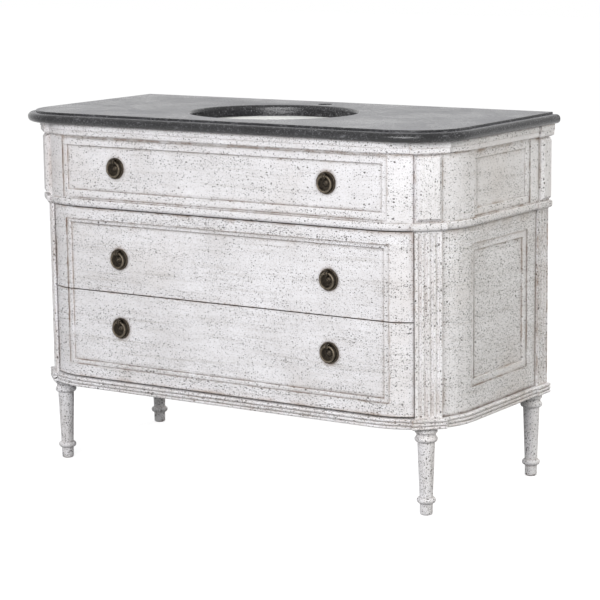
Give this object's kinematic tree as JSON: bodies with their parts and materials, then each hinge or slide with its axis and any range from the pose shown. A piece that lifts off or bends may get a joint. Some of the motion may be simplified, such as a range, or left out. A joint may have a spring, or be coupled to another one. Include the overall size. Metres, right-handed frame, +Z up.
{
  "type": "bathroom vanity unit",
  "caption": "Classical painted bathroom vanity on turned legs with rounded fluted corners, drawers with ring pulls and a dark stone top over an undermounted oval basin.",
  "frame": {"origin": "centre of the overall box at floor level", "axes": "+Z up, +X to the right of someone facing the drawers, drawers face -Y, the wall is at +Y"},
  "size_m": [1.22, 0.56, 0.87],
  "materials": {
    "painted_wood": "distressed off-white paint with grey-brown flecks and worn edges",
    "bare_wood": "plain planed wood, unpainted",
    "stone": "honed charcoal stone with fine speckle",
    "ceramic": "white gloss glaze",
    "bronze": "dark antique bronze"
  },
  "bodies": {
    "cabinet": {"back_panel": "bare_wood", "back_rail": "bare_wood", "base_board": "painted_wood", "basin": "ceramic", "cornice_front": "painted_wood", "cornice_left": "painted_wood", "cornice_right": "painted_wood", "drawer_lower_runner_left": "bare_wood", "drawer_lower_runner_right": "bare_wood", "drawer_upper_runner_left": "bare_wood", "drawer_upper_runner_right": "bare_wood", "false_front": "painted_wood", "front_leg_left": "painted_wood", "front_leg_right": "painted_wood", "front_post_left": "painted_wood", "front_post_right": "painted_wood", "pull_plate_top_left": "bronze", "pull_plate_top_right": "bronze", "rail_lower": "bare_wood", "rail_upper": "bare_wood", "rear_leg_left": "painted_wood", "rear_leg_right": "painted_wood", "rear_post_left": "painted_wood", "rear_post_right": "painted_wood", "side_board_left": "painted_wood", "side_board_right": "painted_wood", "stone_top": "stone", "waist_bead_left": "painted_wood", "waist_bead_right": "painted_wood"},
    "drawer_upper": {"drawer_upper_back_left": "bare_wood", "drawer_upper_back_right": "bare_wood", "drawer_upper_floor": "bare_wood", "drawer_upper_front": "painted_wood", "drawer_upper_notch_front": "bare_wood", "drawer_upper_notch_left": "bare_wood", "drawer_upper_notch_right": "bare_wood", "drawer_upper_side_left": "bare_wood", "drawer_upper_side_right": "bare_wood", "pull_plate_mid_left": "bronze", "pull_plate_mid_right": "bronze"},
    "drawer_lower": {"drawer_lower_back": "bare_wood", "drawer_lower_floor": "bare_wood", "drawer_lower_front": "painted_wood", "drawer_lower_side_left": "bare_wood", "drawer_lower_side_right": "bare_wood", "pull_plate_low_left": "bronze", "pull_plate_low_right": "bronze"},
    "ring_low_left": {"pull_ring_low_left": "bronze"},
    "ring_low_right": {"pull_ring_low_right": "bronze"},
    "ring_mid_left": {"pull_ring_mid_left": "bronze"},
    "ring_mid_right": {"pull_ring_mid_right": "bronze"},
    "ring_top_left": {"pull_ring_top_left": "bronze"},
    "ring_top_right": {"pull_ring_top_right": "bronze"}
  },
  "joints": [
    {"name": "upper_drawer_slide", "type": "slide", "parent": "cabinet", "child": "drawer_upper", "axis": [0, -1, 0], "range_m": [0, 0.32]},
    {"name": "lower_drawer_slide", "type": "slide", "parent": "cabinet", "child": "drawer_lower", "axis": [0, -1, 0], "range_m": [0, 0.32]},
    {"name": "ring_swing_top_left", "type": "hinge", "parent": "cabinet", "child": "ring_top_left", "pos_m": [-0.297, -0.2525, 0.759], "axis": [-1, 0, 0], "range_deg": [0, 95]},
    {"name": "ring_swing_top_right", "type": "hinge", "parent": "cabinet", "child": "ring_top_right", "pos_m": [0.297, -0.2525, 0.759], "axis": [-1, 0, 0], "range_deg": [0, 95]},
    {"name": "ring_swing_mid_left", "type": "hinge", "parent": "drawer_upper", "child": "ring_mid_left", "pos_m": [-0.297, -0.2455, 0.54], "axis": [-1, 0, 0], "range_deg": [0, 95]},
    {"name": "ring_swing_mid_right", "type": "hinge", "parent": "drawer_upper", "child": "ring_mid_right", "pos_m": [0.297, -0.2455, 0.54], "axis": [-1, 0, 0], "range_deg": [0, 95]},
    {"name": "ring_swing_low_left", "type": "hinge", "parent": "drawer_lower", "child": "ring_low_left", "pos_m": [-0.297, -0.2455, 0.373], "axis": [-1, 0, 0], "range_deg": [0, 95]},
    {"name": "ring_swing_low_right", "type": "hinge", "parent": "drawer_lower", "child": "ring_low_right", "pos_m": [0.297, -0.2455, 0.373], "axis": [-1, 0, 0], "range_deg": [0, 95]}
  ]
}
